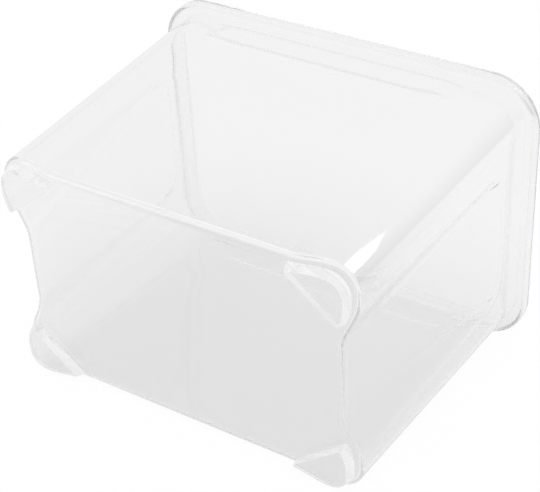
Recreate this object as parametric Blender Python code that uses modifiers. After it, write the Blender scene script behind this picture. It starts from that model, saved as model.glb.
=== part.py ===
import math
from collections import namedtuple

import bmesh
import bpy

MM = 0.001

# Rim and walls
RIM_LENGTH = 200 * MM  # outside of the rim, along X
RIM_WIDTH = 142 * MM  # outside of the rim, along Y
HEIGHT = 150 * MM  # table to the top of the rim
WALL = 2.0 * MM  # moulded thickness, the same all over
RIM_OVERHANG = 6.0 * MM  # outside of the wall to outside of the rim
RIM_SKIRT = 6.5 * MM  # depth of the turned-down edge
RIM_FOLD = 1.0 * MM  # radius inside the two folds of the rim
RIM_CORNER = 24 * MM  # plan radius outside the rim

# Foot of the walls, where the corners stand proud of the sides
BASE_LENGTH = 178 * MM  # over the corners, along X
BASE_WIDTH = 116 * MM  # over the corners, along Y
BASE_CORNER = 12 * MM  # plan radius of the corners
BASE_FILLET = 3.0 * MM  # rounding between wall and underside
SHORT_DRAW_IN = 8.3 * MM  # how far the short walls stand behind the corners
LONG_DRAW_IN = 2.5 * MM  # the same for the long walls
SHORT_BEND_RUN = 26 * MM  # length of the bend from corner to short wall
SHORT_BEND_MARGIN = 4 * MM  # plain wall between corner radius and bend
LONG_BEND_RUN = 17 * MM
LONG_BEND_MARGIN = 2 * MM

# Sunk panel in each short wall
PANEL_BELOW_RIM = 19.5 * MM  # top of the rim to the panel's upper edge
PANEL_DEPTH = 0.8 * MM
PANEL_MARGIN = 10 * MM  # plain wall between corner radius and panel
PANEL_EDGE_RUN = 4 * MM
PANEL_ROUND = 13 * MM  # radius of its upper corners

# Raised grip ridge on each long wall, under the rim
GRIP_BELOW_RIM = 9.5 * MM  # top of the rim to the ridge's upper edge
GRIP_HEIGHT = 14 * MM
GRIP_RAISE = 1.5 * MM
GRIP_MARGIN = 8 * MM  # plain wall between corner radius and ridge
GRIP_END_RUN = 12 * MM  # length over which each end fades out
GRIP_END_LEAD = 8 * MM  # stretch before each end in which its lower edge turns up
GRIP_CURL = 2.0 * MM  # how far the lower edge turns up at its ends
STEP_RISE = 0.9 * MM  # height over which a ridge or panel edge is made

# Corner feet
FOOT_HEIGHT = 5.2 * MM
FOOT_LEG_X = 31 * MM  # from the foot's outer side to its point, along X
FOOT_LEG_Y = 25.3 * MM
FOOT_TIP = 3.5 * MM  # how far back from each point its rounding starts
FOOT_LEDGE = 2.2 * MM  # wall's outside to the foot's side, at the base
FOOT_DRAFT = 0.8 * MM  # how much each side leans in towards the table
FOOT_EDGE = 0.7 * MM  # rounding of the foot's edges
FOOT_SEAT = 0.3 * MM  # bond line between foot and base

# Facets
ROUND_STEPS = 4
BEND_STEPS = 6
TIP_STEPS = 3
CORNER_STEPS = 8
FILLET_STEPS = 4
FOLD_STEPS = 3
WALL_STEPS = 3
FOOT_SIDE_STEPS = 5
FOOT_EDGE_STEPS = 2
FOOT_EDGE_ANGLE = math.radians(40)  # edges of a foot that turn more than this are rounded
SHARP_ANGLE = math.radians(35)  # edges that turn more than this stay crisp in shading
SEAM = 0.02 * MM  # points closer than this are one where the quarters of the shell meet

# Clear plastic
CLEAR_TINT = (0.94, 0.955, 0.955, 1.0)
PLASTIC_IOR = 1.5
SHELL_ROUGHNESS = 0.03
FOOT_ROUGHNESS = 0.05

WALL_TOP = HEIGHT - WALL - RIM_FOLD
WALL_FOOT = FOOT_HEIGHT + BASE_FILLET
PANEL_TOP = HEIGHT - PANEL_BELOW_RIM
GRIP_TOP = HEIGHT - GRIP_BELOW_RIM
GRIP_BOTTOM = GRIP_TOP - GRIP_HEIGHT

# One plan section of the wall's outside: half sizes, corner radius, how far the sides stand back,
# and the marks along each side: lead-in, start and end of its bend
Section = namedtuple("Section", "half_x half_y radius short_back long_back short_marks long_marks")

# One ring of the shell: heights on the long and short sides, offset from the wall, which features it has,
# and whether it is the edge that runs along the ridge and the top of the panel
Ring = namedtuple("Ring", "z_long z_short offset panel raised edge")


def mix(low, high, share):
    return low + (high - low) * share


def eased(share):
    share = min(max(share, 0.0), 1.0)
    return share * share * (3.0 - 2.0 * share)


def section_at(z):
    up = min(max((z - FOOT_HEIGHT) / (WALL_TOP - FOOT_HEIGHT), 0.0), 1.0)
    to_panel = min(max((z - FOOT_HEIGHT) / (PANEL_TOP - FOOT_HEIGHT), 0.0), 1.0)
    to_grip = min(max((z - FOOT_HEIGHT) / (GRIP_BOTTOM - FOOT_HEIGHT), 0.0), 1.0)
    half_x = mix(BASE_LENGTH / 2, RIM_LENGTH / 2 - RIM_OVERHANG, up)
    half_y = mix(BASE_WIDTH / 2, RIM_WIDTH / 2 - RIM_OVERHANG, up)
    radius = mix(BASE_CORNER, RIM_CORNER - RIM_OVERHANG, up)
    short_end = half_y - radius - mix(SHORT_BEND_MARGIN, PANEL_MARGIN, to_panel)
    short_start = short_end - mix(SHORT_BEND_RUN, PANEL_EDGE_RUN, to_panel)
    long_end = half_x - radius - mix(LONG_BEND_MARGIN, GRIP_MARGIN, to_grip)
    long_start = long_end - mix(LONG_BEND_RUN, GRIP_END_RUN, to_grip)
    return Section(
        half_x,
        half_y,
        radius,
        mix(SHORT_DRAW_IN, PANEL_DEPTH, to_panel),
        LONG_DRAW_IN * (1.0 - to_grip),
        (max(short_start - PANEL_ROUND, short_start / 2), short_start, short_end),
        (max(long_start - GRIP_END_LEAD, long_start / 2), long_start, long_end),
    )


def along(marks, tangent, mark):
    # Mark 0 is the middle of a side, 1 to 3 its marks, and 4 the start of the corner radius
    stops = (0.0,) + marks + (tangent,)
    first = min(int(mark), 3)
    return mix(stops[first], stops[first + 1], mark - first)


def standing_back(mark):
    return 1.0 - eased(mark - 2.0)


def side_marks():
    marks = [0.0, 1.0]
    marks += [1.0 + math.sin(math.pi / 2 * step / ROUND_STEPS) for step in range(1, ROUND_STEPS + 1)]
    marks += [2.0 + step / BEND_STEPS for step in range(1, BEND_STEPS + 1)]
    return marks


def arc_drop(share):
    return 1.0 - math.sqrt(1.0 - min(max(share, 0.0), 1.0) ** 2)


def panel_drop(ring, mark):
    # The panel's floor turns its upper corner at its own edge, and the wall round it at the end of the bend
    if ring.panel:
        return PANEL_ROUND * arc_drop(mark - 1.0)
    floor_share = PANEL_ROUND / (PANEL_ROUND + PANEL_EDGE_RUN)
    share = floor_share * (mark - 1.0) if mark <= 2.0 else mix(floor_share, 1.0, mark - 2.0)
    return PANEL_ROUND * arc_drop(share)


def grip_lift(mark):
    return GRIP_CURL * eased((mark - 1.0) / 2.0)


def short_point(ring, mark):
    z = ring.z_short - panel_drop(ring, mark) * ring.edge
    plan = section_at(z)
    x = plan.half_x + ring.offset - plan.short_back * standing_back(mark) * ring.panel
    return (x, along(plan.short_marks, plan.half_y - plan.radius, mark), z)


def long_point(ring, mark):
    z = ring.z_long + grip_lift(mark) * ring.edge
    plan = section_at(z)
    outwards = GRIP_RAISE * ring.raised - plan.long_back
    y = plan.half_y + ring.offset + outwards * standing_back(mark)
    return (along(plan.long_marks, plan.half_x - plan.radius, mark), y, z)


def corner_point(ring, share):
    z = mix(ring.z_short, ring.z_long, share)
    plan = section_at(z)
    angle = share * math.pi / 2
    radius = plan.radius + ring.offset
    x = plan.half_x - plan.radius + radius * math.cos(angle)
    y = plan.half_y - plan.radius + radius * math.sin(angle)
    return (x, y, z)


def quarter_ring(ring):
    # From the middle of the short wall at +X round the corner to the middle of the long wall at +Y
    marks = side_marks()
    points = [short_point(ring, mark) for mark in marks]
    points += [corner_point(ring, step / CORNER_STEPS) for step in range(CORNER_STEPS + 1)]
    points += [long_point(ring, mark) for mark in reversed(marks)]
    return points


def level(z, offset=0.0, panel=1.0, raised=0.0):
    return Ring(z, z, offset, panel, raised, 0.0)


def shell_rings():
    rings = []
    for step in range(FILLET_STEPS + 1):
        angle = math.pi / 2 * step / FILLET_STEPS
        z = FOOT_HEIGHT + BASE_FILLET * (1.0 - math.cos(angle))
        rings.append(level(z, BASE_FILLET * (math.sin(angle) - 1.0)))
    wall_stop = min(PANEL_TOP - PANEL_ROUND, GRIP_BOTTOM) - STEP_RISE
    for step in range(1, WALL_STEPS + 1):
        rings.append(level(mix(WALL_FOOT, wall_stop, step / (WALL_STEPS + 1))))
    half_rise = STEP_RISE / 2
    rings.append(Ring(GRIP_BOTTOM - half_rise, PANEL_TOP - half_rise, 0.0, 1.0, 0.0, 1.0))
    rings.append(Ring(GRIP_BOTTOM + half_rise, PANEL_TOP + half_rise, 0.0, 0.0, 1.0, 1.0))
    rings.append(level(GRIP_TOP - half_rise, panel=0.0, raised=1.0))
    rings.append(level(GRIP_TOP + half_rise, panel=0.0))
    channel = RIM_OVERHANG - WALL
    for step in range(FOLD_STEPS + 1):
        angle = math.pi / 2 * step / FOLD_STEPS
        z = WALL_TOP + RIM_FOLD * math.sin(angle)
        rings.append(level(z, RIM_FOLD * (1.0 - math.cos(angle)), panel=0.0))
    for step in range(FOLD_STEPS + 1):
        angle = math.pi / 2 * step / FOLD_STEPS
        z = WALL_TOP + RIM_FOLD * math.cos(angle)
        rings.append(level(z, channel - RIM_FOLD * (1.0 - math.sin(angle)), panel=0.0))
    rings.append(level(HEIGHT - RIM_SKIRT, channel, panel=0.0))
    return rings


def new_object(name, shape, collection, material):
    mesh = bpy.data.meshes.new(name)
    shape.to_mesh(mesh)
    shape.free()
    mesh.materials.append(material)
    thing = bpy.data.objects.new(name, mesh)
    collection.objects.link(thing)
    return thing


def make_shell(collection, material):
    # A quarter of the outside skin, lofted from the middle of the underside to the lip of the rim
    shape = bmesh.new()
    loops = [[shape.verts.new(point) for point in quarter_ring(ring)] for ring in shell_rings()]
    middle = shape.verts.new((0.0, 0.0, FOOT_HEIGHT))
    for near, far in zip(loops[0], loops[0][1:]):
        shape.faces.new((middle, far, near))
    for low, high in zip(loops, loops[1:]):
        for place in range(len(low) - 1):
            shape.faces.new((low[place], low[place + 1], high[place + 1], high[place]))
    shell = new_object("bin_shell", shape, collection, material)
    mirror = shell.modifiers.new("quarters", "MIRROR")
    mirror.use_axis = (True, True, False)
    mirror.merge_threshold = SEAM
    wall = shell.modifiers.new("wall", "SOLIDIFY")
    wall.thickness = WALL
    wall.offset = -1.0
    wall.use_even_offset = True
    wall.use_quality_normals = True
    shell.data.shade_smooth()
    shell.data.set_sharp_from_angle(angle=SHARP_ANGLE)
    return shell


def foot_outline(inset, shrink):
    # Follows the foot of the wall round one corner, and is closed by the straight side facing the middle
    plan = section_at(FOOT_HEIGHT)
    ring = level(FOOT_HEIGHT, -inset)
    corner_x = plan.half_x - plan.radius
    corner_y = plan.half_y - plan.radius
    stop_x = plan.half_x - FOOT_LEDGE - FOOT_LEG_X + shrink
    stop_y = plan.half_y - FOOT_LEDGE - FOOT_LEG_Y + shrink

    def side_mark(marks, place):
        return 2.0 + (place - marks[1]) / (marks[2] - marks[1])

    points = []
    for step in range(FOOT_SIDE_STEPS):
        y = mix(stop_y, corner_y, step / FOOT_SIDE_STEPS)
        back = plan.short_back * standing_back(side_mark(plan.short_marks, y))
        points.append((plan.half_x - inset - back, y))
    for step in range(CORNER_STEPS + 1):
        points.append(corner_point(ring, step / CORNER_STEPS)[:2])
    for step in range(1, FOOT_SIDE_STEPS + 1):
        x = mix(corner_x, stop_x, step / FOOT_SIDE_STEPS)
        back = plan.long_back * standing_back(side_mark(plan.long_marks, x))
        points.append((x, plan.half_y - inset - back))
    return points


def make_foot(name, side_x, side_y, collection, material):
    shape = bmesh.new()
    tread = foot_outline(FOOT_LEDGE + FOOT_DRAFT, FOOT_DRAFT)
    seat = foot_outline(FOOT_LEDGE, 0.0)
    low = [shape.verts.new((side_x * x, side_y * y, 0.0)) for x, y in tread]
    high = [shape.verts.new((side_x * x, side_y * y, FOOT_HEIGHT - FOOT_SEAT)) for x, y in seat]
    shape.faces.new(low)
    shape.faces.new(high)
    for place in range(len(low)):
        after = (place + 1) % len(low)
        shape.faces.new((low[place], low[after], high[after], high[place]))
    tips = [shape.edges.get((low[place], high[place])) for place in (0, -1)]
    bmesh.ops.bevel(shape, geom=tips, offset=FOOT_TIP, segments=TIP_STEPS, profile=0.5, affect="EDGES")
    bmesh.ops.recalc_face_normals(shape, faces=shape.faces)
    foot = new_object(name, shape, collection, material)
    edge = foot.modifiers.new("edges", "BEVEL")
    edge.width = FOOT_EDGE
    edge.segments = FOOT_EDGE_STEPS
    edge.limit_method = "ANGLE"
    edge.angle_limit = FOOT_EDGE_ANGLE
    foot.data.shade_smooth()
    foot.data.set_sharp_from_angle(angle=SHARP_ANGLE)
    return foot


def clear_plastic(name, roughness):
    material = bpy.data.materials.new(name)
    material.use_nodes = True
    finish = material.node_tree.nodes["Principled BSDF"]
    finish.inputs["Base Color"].default_value = CLEAR_TINT
    finish.inputs["Roughness"].default_value = roughness
    finish.inputs["Metallic"].default_value = 0.0
    finish.inputs["Transmission Weight"].default_value = 1.0
    finish.inputs["IOR"].default_value = PLASTIC_IOR
    return material


def build():
    for thing in list(bpy.data.objects):
        bpy.data.objects.remove(thing, do_unlink=True)
    collection = bpy.data.collections.new("fridge_bin")
    bpy.context.scene.collection.children.link(collection)
    make_shell(collection, clear_plastic("clear_shell", SHELL_ROUGHNESS))
    pad = clear_plastic("clear_foot", FOOT_ROUGHNESS)
    make_foot("front_left_foot", -1, -1, collection, pad)
    make_foot("front_right_foot", 1, -1, collection, pad)
    make_foot("rear_left_foot", -1, 1, collection, pad)
    make_foot("rear_right_foot", 1, 1, collection, pad)


build()
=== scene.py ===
import math
from collections import namedtuple

import bpy
from mathutils import Euler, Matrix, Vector


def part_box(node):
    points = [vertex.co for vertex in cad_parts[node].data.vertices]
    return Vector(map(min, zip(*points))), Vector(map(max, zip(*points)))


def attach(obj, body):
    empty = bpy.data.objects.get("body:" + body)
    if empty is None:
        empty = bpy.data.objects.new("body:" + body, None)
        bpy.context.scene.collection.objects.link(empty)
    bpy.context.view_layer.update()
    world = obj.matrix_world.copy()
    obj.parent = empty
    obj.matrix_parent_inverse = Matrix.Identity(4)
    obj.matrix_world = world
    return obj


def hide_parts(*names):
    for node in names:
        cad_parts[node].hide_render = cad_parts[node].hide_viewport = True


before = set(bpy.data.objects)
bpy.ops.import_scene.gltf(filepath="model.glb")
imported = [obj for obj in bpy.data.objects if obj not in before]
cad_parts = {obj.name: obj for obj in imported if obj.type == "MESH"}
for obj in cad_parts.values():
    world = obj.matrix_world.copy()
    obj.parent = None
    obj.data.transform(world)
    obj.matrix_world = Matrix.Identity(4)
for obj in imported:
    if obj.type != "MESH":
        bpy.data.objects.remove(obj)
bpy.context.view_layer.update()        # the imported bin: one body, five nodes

mm = 0.001
shellLow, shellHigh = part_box("bin_shell")
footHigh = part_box("front_right_foot")[1]
print("frame loaded:", sorted(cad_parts))

# shell, sizes in mm, the overall ones straight from the frame
shellSet = {
    "length": (shellHigh.x - shellLow.x) / mm,
    "width": (shellHigh.y - shellLow.y) / mm,
    "top": shellHigh.z / mm,
    "under": shellLow.z / mm,  # underside of the base
    "wall": 2.0,
    "overhang": 6.0,  # wall to outside of the rim
    "skirt": 6.5,
    "fold": 1.0,
    "lipRound": 0.9,
    "rimCorner": 24.0,
    "baseLength": 178.0,
    "baseWidth": 116.0,
    "baseCorner": 12.0,
    "fillet": 3.0,
    "shortBack": 8.3,  # short walls stand this far behind the corners at the base
    "longBack": 2.5,
    "shortBend": (26.0, 4.0),  # run and margin of the bend beside the corner
    "longBend": (17.0, 2.0),
    "panelTop": 130.5,
    "panelDepth": 0.5,
    "panelEdge": (4.0, 10.0),
    "panelRound": 13.0,
    "gripLow": 126.5,
    "gripHigh": 140.5,
    "gripRaise": 1.5,
    "gripEnd": (12.0, 8.0),
    "gripLead": 8.0,
    "gripCurl": 2.0,
    "rise": 3.0,  # height of a ridge or panel edge
    "levelTop": 92.0,  # above this the rings bend towards the panel and ridge
    "support": 0.2,  # run of straight wall kept at each end of a rounding
    "seam": 0.02,  # points closer than this are one where the quarters meet
}
shellSteps = {"side": 4, "round": 8, "bend": 14, "corner": 18, "fillet": 8, "fold": 5, "bigFold": 8,
              "lip": 5, "edge": 10, "wall": 8, "lead": 7, "above": 6}

Plan = namedtuple("Plan", "halfX halfY radius shortBack longBack shortMarks longMarks")
Ring = namedtuple("Ring", "zLong zShort offset panel raised edge")


def mix(low, high, share):
    return low + (high - low) * share


def clamp(share):
    return min(max(share, 0.0), 1.0)


def eased(share):
    share = clamp(share)
    return share * share * (3.0 - 2.0 * share)


def arcDrop(share):
    return 1.0 - math.sqrt(1.0 - clamp(share) ** 2)


def planAt(z, s=shellSet):
    wallTop = s["top"] - s["wall"] - s["fold"]
    up = clamp((z - s["under"]) / (wallTop - s["under"]))
    toPanel = clamp((z - s["under"]) / (s["panelTop"] - s["under"]))
    toGrip = clamp((z - s["under"]) / (s["gripLow"] - s["under"]))
    halfX = mix(s["baseLength"], s["length"] - 2 * s["overhang"], up) / 2
    halfY = mix(s["baseWidth"], s["width"] - 2 * s["overhang"], up) / 2
    radius = mix(s["baseCorner"], s["rimCorner"] - s["overhang"], up)
    shortRun, shortMargin = (mix(a, b, toPanel) for a, b in zip(s["shortBend"], s["panelEdge"]))
    longRun, longMargin = (mix(a, b, toGrip) for a, b in zip(s["longBend"], s["gripEnd"]))
    shortEnd = halfY - radius - shortMargin
    shortStart = shortEnd - shortRun
    longEnd = halfX - radius - longMargin
    longStart = longEnd - longRun
    return Plan(halfX, halfY, radius,
                mix(s["shortBack"], s["panelDepth"], toPanel),
                s["longBack"] * (1.0 - toGrip),
                (max(shortStart - s["panelRound"], shortStart / 2), shortStart, shortEnd),
                (max(longStart - s["gripLead"], longStart / 2), longStart, longEnd))


def along(marks, tangent, mark):  # 0 middle of a side, 1 to 3 its marks, 4 start of the corner
    stops = (0.0,) + marks + (tangent,)
    first = min(int(mark), 3)
    return mix(stops[first], stops[first + 1], mark - first)


def standingBack(mark):
    return 1.0 - eased(mark - 2.0)


def panelDrop(ring, mark, s=shellSet):  # the panel's floor and the wall round it turn on their own arcs
    onFloor = arcDrop(mark - 1.0)
    share = s["panelRound"] / (s["panelRound"] + s["panelEdge"][0])
    onWall = arcDrop(share * (mark - 1.0) if mark <= 2.0 else mix(share, 1.0, mark - 2.0))
    return s["panelRound"] * mix(onWall, onFloor, ring.panel)


def shortPoint(ring, mark):
    z = ring.zShort - panelDrop(ring, mark) * ring.edge
    plan = planAt(z)
    x = plan.halfX + ring.offset - plan.shortBack * standingBack(mark) * ring.panel
    return (x, along(plan.shortMarks, plan.halfY - plan.radius, mark), z)


def longPoint(ring, mark, s=shellSet):
    z = ring.zLong + s["gripCurl"] * eased((mark - 1.0) / 2.0) * ring.edge
    plan = planAt(z)
    outwards = s["gripRaise"] * ring.raised - plan.longBack
    return (along(plan.longMarks, plan.halfX - plan.radius, mark),
            plan.halfY + ring.offset + outwards * standingBack(mark), z)


def cornerPoint(ring, share):
    z = mix(ring.zShort, ring.zLong, share)
    plan = planAt(z)
    angle = share * math.pi / 2
    radius = plan.radius + ring.offset
    return (plan.halfX - plan.radius + radius * math.cos(angle),
            plan.halfY - plan.radius + radius * math.sin(angle), z)


def sideMarks(n=shellSteps):
    marks = [step / n["side"] for step in range(n["side"] + 1)]
    marks += [1.0 + math.sin(math.pi / 2 * step / n["round"]) for step in range(1, n["round"] + 1)]
    marks += [2.0 + step / n["bend"] for step in range(1, n["bend"] + 1)]
    return marks


def quarterRing(ring, n=shellSteps):  # middle of the +X wall, round the corner, middle of the +Y wall
    marks = sideMarks()
    points = [shortPoint(ring, mark) for mark in marks]
    points += [cornerPoint(ring, step / n["corner"]) for step in range(n["corner"] + 1)]
    points += [longPoint(ring, mark) for mark in reversed(marks)]
    return points


def level(z, offset, panel=0.0, raised=0.0):
    return Ring(z, z, offset, panel, raised, 0.0)


def arcRings(middleZ, middleOffset, radius, start, end, steps, panel=0.0, s=shellSet):  # 0 out, 90 up
    turns = [math.radians(mix(start, end, step / steps)) for step in range(steps + 1)]
    way = s["support"] if end > start else -s["support"]

    def ringAt(turn, ahead):  # ahead runs on along the tangent, so that the flats stay flat in shading
        return level(middleZ + radius * math.sin(turn) + ahead * way * math.cos(turn),
                     middleOffset + radius * math.cos(turn) - ahead * way * math.sin(turn), panel)

    return [ringAt(turns[0], -1)] + [ringAt(turn, 0) for turn in turns] + [ringAt(turns[-1], 1)]


def wallRings(offset, s=shellSet, n=shellSteps):  # one skin of the wall, upwards
    half = s["rise"] / 2
    start = s["under"] + s["fillet"]
    rings = [level(mix(start, s["levelTop"], k / n["wall"]), offset, 1.0) for k in range(1, n["wall"] + 1)]
    for k in range(1, n["lead"] + 1):
        share = k / n["lead"]
        rings.append(Ring(mix(s["levelTop"], s["gripLow"] - half, share),
                          mix(s["levelTop"], s["panelTop"] - half, share), offset, 1.0, 0.0, share))
    for k in range(1, n["edge"] + 1):  # lower edge of the ridge, upper edge of the panel
        share = k / n["edge"]
        lift = s["rise"] * share - half
        rings.append(Ring(s["gripLow"] + lift, s["panelTop"] + lift, offset,
                          1.0 - eased(share), eased(share), 1.0))
    for k in range(1, n["above"] + 1):
        share = k / n["above"]
        rings.append(Ring(mix(s["gripLow"] + half, s["gripHigh"] - half, share),
                          mix(s["panelTop"] + half, s["gripHigh"] - half, share),
                          offset, 0.0, 1.0, 1.0 - share))
    for k in range(1, n["edge"] + 1):  # upper edge of the ridge
        share = k / n["edge"]
        rings.append(level(s["gripHigh"] - half + s["rise"] * share, offset, 0.0, 1.0 - eased(share)))
    return rings


def shellRings(s=shellSet, n=shellSteps):  # underside, outer skin, rim, inner skin, floor
    foot = s["under"] + s["fillet"]
    wallTop = s["top"] - s["wall"] - s["fold"]
    channel = s["overhang"] - s["wall"]
    bigFold = s["fold"] + s["wall"]
    lipZ = s["top"] - s["skirt"] + s["lipRound"]
    rings = arcRings(foot, -s["fillet"], s["fillet"], -90, 0, n["fillet"], 1.0)
    rings += wallRings(0.0)
    rings += arcRings(wallTop, s["fold"], s["fold"], 180, 90, n["fold"])
    rings += arcRings(wallTop, channel - s["fold"], s["fold"], 90, 0, n["fold"])
    rings += arcRings(lipZ, channel + s["lipRound"], s["lipRound"], 180, 270, n["lip"])
    rings += arcRings(lipZ, s["overhang"] - s["lipRound"], s["lipRound"], 270, 360, n["lip"])
    rings += arcRings(s["top"] - bigFold, s["overhang"] - bigFold, bigFold, 0, 90, n["bigFold"])
    rings += arcRings(s["top"] - bigFold, bigFold - s["wall"], bigFold, 90, 180, n["bigFold"])
    rings += reversed(wallRings(-s["wall"]))
    rings += arcRings(foot, -s["fillet"], s["fillet"] - s["wall"], 0, -90, n["fillet"], 1.0)
    return rings


def meshFrom(name, loops, closed, poles):  # loops of points in mm, with a pole at each end
    points = [poles[0]] + [point for loop in loops for point in loop] + [poles[1]]
    count = len(loops[0])
    steps = count if closed else count - 1
    faces = []
    for k in range(steps):
        after = (k + 1) % count
        faces.append((0, 1 + after, 1 + k))
        last = 1 + (len(loops) - 1) * count
        faces.append((len(points) - 1, last + k, last + after))
    for row in range(len(loops) - 1):
        low = 1 + row * count
        high = low + count
        for k in range(steps):
            after = (k + 1) % count
            faces.append((low + k, low + after, high + after, high + k))
    mesh = bpy.data.meshes.new(name)
    mesh.from_pydata([(x * mm, y * mm, z * mm) for x, y, z in points], [], faces)
    mesh.shade_smooth()
    return mesh


def addObject(name, mesh):
    thing = bpy.data.objects.new(name, mesh)
    bpy.context.scene.collection.objects.link(thing)
    return thing


def treeWith(name, sockets):  # geometry tree with a geometry in and out and its named inputs
    tree = bpy.data.node_groups.new(name, "GeometryNodeTree")
    tree.interface.new_socket("Geometry", in_out="INPUT", socket_type="NodeSocketGeometry")
    for label, kind in sockets:
        tree.interface.new_socket(label, in_out="INPUT", socket_type=kind)
    tree.interface.new_socket("Geometry", in_out="OUTPUT", socket_type="NodeSocketGeometry")
    return tree


def plainMesh(thing, tree, values):  # runs a tree on an object and keeps the result as its mesh
    modifier = thing.modifiers.new(tree.name, "NODES")
    modifier.node_group = tree
    sockets = {item.name: item.identifier for item in tree.interface.items_tree if item.in_out == "INPUT"}
    for label, value in values.items():
        modifier[sockets[label]] = value
    bpy.context.view_layer.update()
    seen = thing.evaluated_get(bpy.context.evaluated_depsgraph_get())
    made = bpy.data.meshes.new_from_object(seen)
    thing.modifiers.remove(modifier)
    made.name = thing.name
    thing.data = made
    return thing


def quartersTree():  # one quarter to four, welded on the planes where they meet
    tree = treeWith("fourQuarters", [("Seam", "NodeSocketFloat"), ("Finish", "NodeSocketMaterial")])
    nodes, links = tree.nodes, tree.links
    start = nodes.new("NodeGroupInput")
    flow = start.outputs["Geometry"]
    for scale in ((-1, 1, 1), (1, -1, 1)):
        turned = nodes.new("GeometryNodeTransform")
        turned.inputs["Scale"].default_value = scale
        flipped = nodes.new("GeometryNodeFlipFaces")
        joined = nodes.new("GeometryNodeJoinGeometry")
        links.new(flow, turned.inputs["Geometry"])
        links.new(turned.outputs["Geometry"], flipped.inputs["Mesh"])
        links.new(flipped.outputs["Mesh"], joined.inputs["Geometry"])
        links.new(flow, joined.inputs["Geometry"])
        flow = joined.outputs["Geometry"]
    weld = nodes.new("GeometryNodeMergeByDistance")
    real = nodes.new("GeometryNodeRealizeInstances")
    finish = nodes.new("GeometryNodeSetMaterial")
    end = nodes.new("NodeGroupOutput")
    links.new(flow, weld.inputs["Geometry"])
    links.new(start.outputs["Seam"], weld.inputs["Distance"])
    links.new(weld.outputs["Geometry"], real.inputs["Geometry"])
    links.new(real.outputs["Geometry"], finish.inputs["Geometry"])
    links.new(start.outputs["Finish"], finish.inputs["Material"])
    links.new(finish.outputs["Geometry"], end.inputs["Geometry"])
    return tree


def cornerTree():  # one foot to any of the four corners
    tree = treeWith("footAtCorner", [("Side", "NodeSocketVector"), ("Mirrored", "NodeSocketBool"),
                                     ("Finish", "NodeSocketMaterial")])
    nodes, links = tree.nodes, tree.links
    start = nodes.new("NodeGroupInput")
    turned = nodes.new("GeometryNodeTransform")
    flipped = nodes.new("GeometryNodeFlipFaces")
    real = nodes.new("GeometryNodeRealizeInstances")
    finish = nodes.new("GeometryNodeSetMaterial")
    end = nodes.new("NodeGroupOutput")
    links.new(start.outputs["Geometry"], turned.inputs["Geometry"])
    links.new(start.outputs["Side"], turned.inputs["Scale"])
    links.new(turned.outputs["Geometry"], flipped.inputs["Mesh"])
    links.new(start.outputs["Mirrored"], flipped.inputs["Selection"])
    links.new(flipped.outputs["Mesh"], real.inputs["Geometry"])
    links.new(real.outputs["Geometry"], finish.inputs["Geometry"])
    links.new(start.outputs["Finish"], finish.inputs["Material"])
    links.new(finish.outputs["Geometry"], end.inputs["Geometry"])
    return tree


# clear plastic, faint moulding flow in the gloss and the surface
plasticSet = {
    "shell": {"tint": (0.985, 0.985, 0.985, 1.0), "rough": (0.025, 0.045), "flow": 18.0, "waves": 0.02,
              "haze": {"rough": 0.065, "longRun": (0.06, 0.045), "shortRun": (0.032, 0.022),
                       "wallRise": ((0.012, 0.02), (0.122, 0.112)), "baseTop": (0.01, 0.008),
                       "baseX": (0.07, 0.055), "baseY": (0.042, 0.034)}},
    "foot": {"tint": (0.985, 0.985, 0.985, 1.0), "rough": (0.025, 0.045), "flow": 40.0, "waves": 0.02},
    "flowDetail": 3.0,
    "waveRise": 1.0,  # of the bump at full strength, in mm
    "ior": 1.5,
    "absorb": (0.35, 0.4, 0.42, 1.0),
    "density": 0.2,
}


wholeSpan = (0.0, 1.0)


def spread(tree, source, span, levels=wholeSpan):  # a value's span stretched to levels
    node = tree.nodes.new("ShaderNodeMapRange")
    node.inputs["From Min"].default_value, node.inputs["From Max"].default_value = span
    node.inputs["To Min"].default_value, node.inputs["To Max"].default_value = levels
    tree.links.new(source, node.inputs["Value"])
    return node.outputs["Result"]


def blend(tree, share, one, two):  # levels or sockets
    node = tree.nodes.new("ShaderNodeMix")
    for label, value in (("Factor", share), ("A", one), ("B", two)):
        if isinstance(value, float):
            node.inputs[label].default_value = value
        else:
            tree.links.new(value, node.inputs[label])
    return node.outputs["Result"]


def reckon(tree, what, *values):  # one step of arithmetic on sockets or numbers
    node = tree.nodes.new("ShaderNodeMath")
    node.operation = what
    for slot, value in enumerate(values):
        if isinstance(value, float):
            node.inputs[slot].default_value = value
        else:
            tree.links.new(value, node.inputs[slot])
    return node.outputs["Value"]


def hazeOnFlats(tree, where, rough, h):  # the flats are a little hazy, the bends and the rim stay polished
    apart = tree.nodes.new("ShaderNodeSeparateXYZ")
    tree.links.new(where, apart.inputs[0])
    x, y = (reckon(tree, "ABSOLUTE", apart.outputs[axis]) for axis in ("X", "Y"))
    z = apart.outputs["Z"]
    onWall = reckon(tree, "MAXIMUM", spread(tree, x, h["longRun"]), spread(tree, y, h["shortRun"]))
    for span in h["wallRise"]:
        onWall = reckon(tree, "MULTIPLY", onWall, spread(tree, z, span))
    onBase = spread(tree, z, h["baseTop"])
    for source, span in ((x, h["baseX"]), (y, h["baseY"])):
        onBase = reckon(tree, "MULTIPLY", onBase, spread(tree, source, span))
    return blend(tree, reckon(tree, "MAXIMUM", onWall, onBase), rough, h["rough"])


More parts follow.
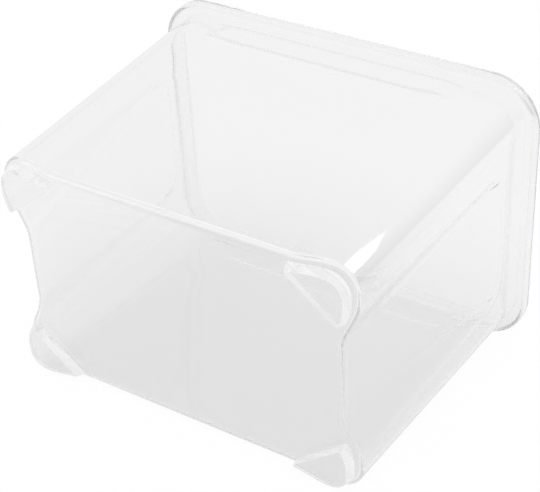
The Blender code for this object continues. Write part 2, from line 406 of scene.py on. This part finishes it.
def clearPlastic(name, look, p=plasticSet):
    material = bpy.data.materials.new(name)
    material.use_nodes = True
    nodes, links = material.node_tree.nodes, material.node_tree.links
    body = nodes["Principled BSDF"]
    body.inputs["Base Color"].default_value = look["tint"]
    body.inputs["Transmission Weight"].default_value = 1.0
    body.inputs["IOR"].default_value = p["ior"]
    where = nodes.new("ShaderNodeTexCoord")
    flow = nodes.new("ShaderNodeTexNoise")
    flow.inputs["Scale"].default_value = look["flow"]
    flow.inputs["Detail"].default_value = p["flowDetail"]
    links.new(where.outputs["Object"], flow.inputs["Vector"])
    rough = spread(material.node_tree, flow.outputs["Fac"], wholeSpan, look["rough"])
    if "haze" in look:
        rough = hazeOnFlats(material.node_tree, where.outputs["Object"], rough, look["haze"])
    links.new(rough, body.inputs["Roughness"])
    waves = nodes.new("ShaderNodeBump")
    waves.inputs["Strength"].default_value = look["waves"]
    waves.inputs["Distance"].default_value = p["waveRise"] * mm
    links.new(flow.outputs["Fac"], waves.inputs["Height"])
    links.new(waves.outputs["Normal"], body.inputs["Normal"])
    depth = nodes.new("ShaderNodeVolumeAbsorption")
    depth.inputs["Color"].default_value = p["absorb"]
    depth.inputs["Density"].default_value = p["density"]
    links.new(depth.outputs["Volume"], nodes["Material Output"].inputs["Volume"])
    return material


shellFinish = clearPlastic("clearShell", plasticSet["shell"])
footFinish = clearPlastic("clearFoot", plasticSet["foot"])
print("finishes made")

hubZ = shellSet["under"]
quarter = meshFrom("bin_moulding", [quarterRing(ring) for ring in shellRings()], False,
                   ((0, 0, hubZ), (0, 0, hubZ + shellSet["wall"])))
shell = addObject("bin_moulding", quarter)
plainMesh(shell, quartersTree(), {"Seam": shellSet["seam"] * mm, "Finish": shellFinish})
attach(shell, "root")
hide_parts("bin_shell")
print("shell made:", len(shell.data.polygons), "faces")

# corner feet
footSet = {
    "height": footHigh.z / mm,
    "legX": 31.0,
    "legY": 25.3,
    "tip": 3.5,  # back from each point along its side
    "tipRound": 1.0,
    "ledge": 2.2,  # wall to the foot's side
    "draft": 1.6,
    "edge": 0.3,
    "topEdge": 0.25,
    "support": 0.15,
}
footSteps = {"side": 12, "corner": 14, "tip": 6, "long": (0.02, 0.2, 0.4, 0.6, 0.8, 0.98), "edge": 5}


def rounded(point, before, after, radius, steps):  # arc in place of a sharp point, from side to side
    one, two = (before - point).normalized(), (after - point).normalized()
    half = math.acos(one.dot(two)) / 2
    middle = point + (one + two).normalized() * radius / math.sin(half)
    start = point + one * radius / math.tan(half) - middle
    turn = math.pi - 2 * half
    spokes = [(math.cos(turn * k / steps), math.sin(turn * k / steps)) for k in range(steps + 1)]
    return [middle + Vector((start.x * c - start.y * d, start.x * d + start.y * c)) for c, d in spokes]


def drawnIn(outline, run):  # the outline moved inwards square to itself
    moved = []
    for k, point in enumerate(outline):
        one = (point - outline[k - 1]).normalized()
        two = (outline[(k + 1) % len(outline)] - point).normalized()
        inwards = Vector((-one.y - two.y, one.x + two.x)).normalized()
        moved.append(point + inwards * run / inwards.dot(Vector((-one.y, one.x))))
    return moved


def footOutline(inset, f=footSet, s=shellSet, n=footSteps):
    plan = planAt(s["under"])
    side = f["ledge"] + inset
    ring = level(s["under"], -side)
    stopX = plan.halfX - f["ledge"] - f["legX"] + inset
    stopY = plan.halfY - f["ledge"] - f["legY"] + inset

    def shortSide(y):
        mark = 2.0 + (y - plan.shortMarks[1]) / (plan.shortMarks[2] - plan.shortMarks[1])
        return Vector((plan.halfX - side - plan.shortBack * standingBack(mark), y))

    def longSide(x):
        mark = 2.0 + (x - plan.longMarks[1]) / (plan.longMarks[2] - plan.longMarks[1])
        return Vector((x, plan.halfY - side - plan.longBack * standingBack(mark)))

    cornerX = plan.halfX - plan.radius
    cornerY = plan.halfY - plan.radius
    pointB, pointA = shortSide(stopY), longSide(stopX)
    tipB = rounded(pointB, pointA, shortSide(stopY + f["tip"]), f["tipRound"], n["tip"])
    tipA = rounded(pointA, longSide(stopX + f["tip"]), pointB, f["tipRound"], n["tip"])
    outline = tipB
    outline += [shortSide(mix(tipB[-1].y, cornerY, k / n["side"])) for k in range(1, n["side"])]
    outline += [Vector(cornerPoint(ring, k / n["corner"])[:2]) for k in range(n["corner"])]
    outline += [longSide(mix(cornerX, tipA[0].x, k / n["side"])) for k in range(n["side"])]
    outline += tipA
    outline += [tipA[-1].lerp(tipB[0], share) for share in n["long"]]
    return outline


def footMesh(name, f=footSet, n=footSteps):
    turns = [math.pi / 2 * k / n["edge"] for k in range(n["edge"] + 1)]
    tread = [(f["edge"] * (1 - math.sin(t)), f["edge"] * (1 - math.cos(t))) for t in turns]
    seat = [(f["topEdge"] * (1 - math.cos(t)), f["height"] - f["topEdge"] * (1 - math.sin(t)))
            for t in turns]
    loops = [(f["edge"] + f["support"], 0.0)] + tread + [(0.0, f["edge"] + f["support"])]
    loops += [(0.0, f["height"] - f["topEdge"] - f["support"])] + seat
    loops += [(f["topEdge"] + f["support"], f["height"])]
    rings = []
    for run, z in loops:
        outline = drawnIn(footOutline(f["draft"] * (1 - z / f["height"])), run)
        rings.append([(point.x, point.y, z) for point in outline])
    middle = [sum(point[axis] for point in rings[0]) / len(rings[0]) for axis in (0, 1)]
    return meshFrom(name, rings, True, ((*middle, 0.0), (*middle, f["height"])))


cornerOf = {"front_left": (-1, -1), "front_right": (1, -1), "rear_left": (-1, 1), "rear_right": (1, 1)}
atCorner = cornerTree()
for corner, (sideX, sideY) in cornerOf.items():
    foot = addObject(corner + "_pad", footMesh(corner + "_pad"))
    plainMesh(foot, atCorner, {"Side": (sideX, sideY, 1), "Mirrored": sideX * sideY < 0,
                               "Finish": footFinish})
    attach(foot, "root")
    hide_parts(corner + "_foot")
print("feet made")

# stage: the pale floor that the bin lies on, against its long wall
stageSet = {
    "size": 3.0,
    "contact": ((58.0, 8.2), (71.0, 146.0)),  # y and z of the base corner and the rim, in mm
    "gap": 0.2,
    "colour": (0.9, 0.9, 0.9, 1.0),
    "glow": (0.73, 0.97),  # share of the floor's own white, through the plastic and seen straight
    "white": (0.9, 1.0),  # its level through the plastic, and seen straight
}


def makeFloor(s=stageSet):
    (lowY, lowZ), (highY, highZ) = s["contact"]
    slope = Vector((0.0, highY - lowY, highZ - lowZ)).normalized()
    across = Vector((1.0, 0.0, 0.0))
    middle = Vector((0.0, lowY + s["gap"], lowZ)) * mm
    half = s["size"] / 2
    corners = [middle + across * half * i + slope * half * j
               for i, j in ((-1, -1), (-1, 1), (1, 1), (1, -1))]
    mesh = bpy.data.meshes.new("floor")
    mesh.from_pydata([tuple(c) for c in corners], [], [(0, 1, 2, 3)])
    if mesh.polygons[0].normal.y > 0:
        mesh.flip_normals()
    floor = addObject("floor", mesh)
    material = bpy.data.materials.new("paleFloor")
    material.use_nodes = True
    nodes, links = material.node_tree.nodes, material.node_tree.links
    nodes.clear()
    out = nodes.new("ShaderNodeOutputMaterial")
    matt = nodes.new("ShaderNodeBsdfDiffuse")
    matt.inputs["Color"].default_value = s["colour"]
    white = nodes.new("ShaderNodeEmission")
    both = nodes.new("ShaderNodeMixShader")
    straight = nodes.new("ShaderNodeLightPath").outputs["Is Camera Ray"]
    links.new(spread(material.node_tree, straight, wholeSpan, s["white"]), white.inputs["Strength"])
    links.new(spread(material.node_tree, straight, wholeSpan, s["glow"]), both.inputs["Fac"])
    links.new(matt.outputs[0], both.inputs[1])
    links.new(white.outputs[0], both.inputs[2])
    geometry = nodes.new("ShaderNodeNewGeometry")
    clear = nodes.new("ShaderNodeBsdfTransparent")
    side = nodes.new("ShaderNodeMixShader")
    links.new(geometry.outputs["Backfacing"], side.inputs["Fac"])
    links.new(both.outputs[0], side.inputs[1])
    links.new(clear.outputs[0], side.inputs[2])
    links.new(side.outputs[0], out.inputs["Surface"])
    mesh.materials.append(material)


makeFloor()

lightSet = {
    "through": 0.88,  # the room seen through the plastic, and by the floor
    "up": (0.0, -1.0, 0.094),  # square to the floor
    "pale": 0.9,  # the room in the gloss
    "gap": (0.05, 0.75),  # painted dark reflection: towards the far side the room in the gloss darkens down to the edge of the floor
    "paintedDarkTone": (0.0, 0.7),  # tone of the painted dark reflection in the outer skin and deeper
    "farSide": (0.7, 0.0, 0.7),
    "farEdge": (0.78, 0.93),
    "paintedHighlights": (  # painted highlights in the gloss of the outer skin, where soft lights would reflect: way, edge and strength
        ((-0.53, -0.57, -0.63), (0.975, 0.985), 2.1),
        ((-0.49, -0.79, 0.36), (0.988, 0.993), 2.0),
        ((-0.47, -0.2, 0.86), (0.985, 0.99), 2.5),
    ),
    "wedge": 8.0,  # strength of a painted highlight cut to a wedge
    "wedgeSides": (((1.0, 0.0, -13.6), (-8.43, -8.4)), ((-1.0, 0.0, -30.3), (-20.19, -20.16)),
                   ((-1.0, 0.0, 0.0), (-0.65, -0.63)), ((1.0, 0.0, 0.0), (0.14, 0.16)),
                   ((0.0, 0.0, 1.0), (0.55, 0.57)), ((0.0, -1.0, 0.094), (0.4, 0.42))),
    "outerSteps": (1.0, 2.0, 0.5),  # gloss and ray depth of a first reflection in the world, and slack
    "key": {"from": (0.17, -0.95, -0.26), "aim": (0.0, 0.0, 0.075), "far": 0.9, "size": 0.5, "power": 3.0},
}


def alongWay(tree, source, way):  # how far a direction points one way
    node = tree.nodes.new("ShaderNodeVectorMath")
    node.operation = "DOT_PRODUCT"
    node.inputs[1].default_value = way
    tree.links.new(source, node.inputs[0])
    return node.outputs["Value"]


def makeWorld(w=lightSet):
    world = bpy.data.worlds.new("studio")
    bpy.context.scene.world = world
    world.use_nodes = True
    tree = world.node_tree
    room = tree.nodes["Background"]
    room.inputs["Color"].default_value = (1, 1, 1, 1)
    way = tree.nodes.new("ShaderNodeTexCoord").outputs["Generated"]
    rise = alongWay(tree, way, w["up"])
    # painted dark reflection: the room seen in the gloss darkens towards the far side
    far = spread(tree, alongWay(tree, way, w["farSide"]), w["farEdge"])
    mirrored, deeper = (blend(tree, far, w["pale"], spread(tree, rise, w["gap"], (tone, w["pale"])))
                        for tone in w["paintedDarkTone"])
    # painted highlight, its sides cut to a wedge, seen only in the first reflection off the outer skin
    wedge = None
    for side, edge in w["wedgeSides"]:
        part = spread(tree, alongWay(tree, way, side), edge)
        wedge = part if wedge is None else reckon(tree, "MULTIPLY", wedge, part)
    path = tree.nodes.new("ShaderNodeLightPath")
    glossStep, rayStep, slack = w["outerSteps"]
    once = reckon(tree, "COMPARE", path.outputs["Glossy Depth"], glossStep, slack)
    first = reckon(tree, "COMPARE", path.outputs["Ray Depth"], rayStep, slack)
    outer = reckon(tree, "MULTIPLY", once, first)
    inside = blend(tree, outer, blend(tree, once, w["through"], deeper), mirrored)
    # painted highlights: bright patches that only the first reflection off the outer skin sees
    for at, edge, strength in w["paintedHighlights"]:
        highlightMask = spread(tree, alongWay(tree, way, at), edge)
        inside = blend(tree, reckon(tree, "MULTIPLY", outer, highlightMask), inside, strength)
    inside = blend(tree, reckon(tree, "MULTIPLY", outer, wedge), inside, w["wedge"])
    seen = blend(tree, path.outputs["Is Camera Ray"], inside, 1.0)
    tree.links.new(seen, room.inputs["Strength"])


def makeKey(k=lightSet["key"]):
    data = bpy.data.lights.new("key", "AREA")
    data.shape = "SQUARE"
    data.size = k["size"]
    data.energy = k["power"]
    lamp = bpy.data.objects.new("key", data)
    way = Vector(k["from"]).normalized()
    lamp.location = way * k["far"] + Vector(k["aim"])
    lamp.visible_glossy = lamp.visible_transmission = False  # the painted highlights stand for it in the gloss
    lamp.rotation_mode = "QUATERNION"
    lamp.rotation_quaternion = way.to_track_quat("Z", "Y")
    bpy.context.scene.collection.objects.link(lamp)


makeWorld()
makeKey()

# camera, at the photo's place: below the base, rolled so that the front wall is up
cameraSet = {"place": (311.23, -384.52, -374.29), "turn": (142.84, -32.571, 3.18), "lens": 97.46,
             "sensor": 36.0, "clip": (0.01, 100.0)}
cameraData = bpy.data.cameras.new("camera")
cameraData.lens = cameraSet["lens"]
cameraData.sensor_width = cameraSet["sensor"]
cameraData.clip_start, cameraData.clip_end = cameraSet["clip"]
camera = bpy.data.objects.new("camera", cameraData)
camera.location = Vector(cameraSet["place"]) * mm
camera.rotation_euler = Euler([math.radians(turn) for turn in cameraSet["turn"]], "XYZ")
bpy.context.scene.collection.objects.link(camera)
bpy.context.scene.camera = camera

bpy.context.scene.view_settings.view_transform = "Standard"
bounces = 1024  # fewer leave black lines along the rim
bpy.context.scene.cycles.max_bounces = bounces
bpy.context.scene.cycles.transmission_bounces = bounces
bpy.context.scene.cycles.glossy_bounces = bounces
print("stage, lamps and camera set")
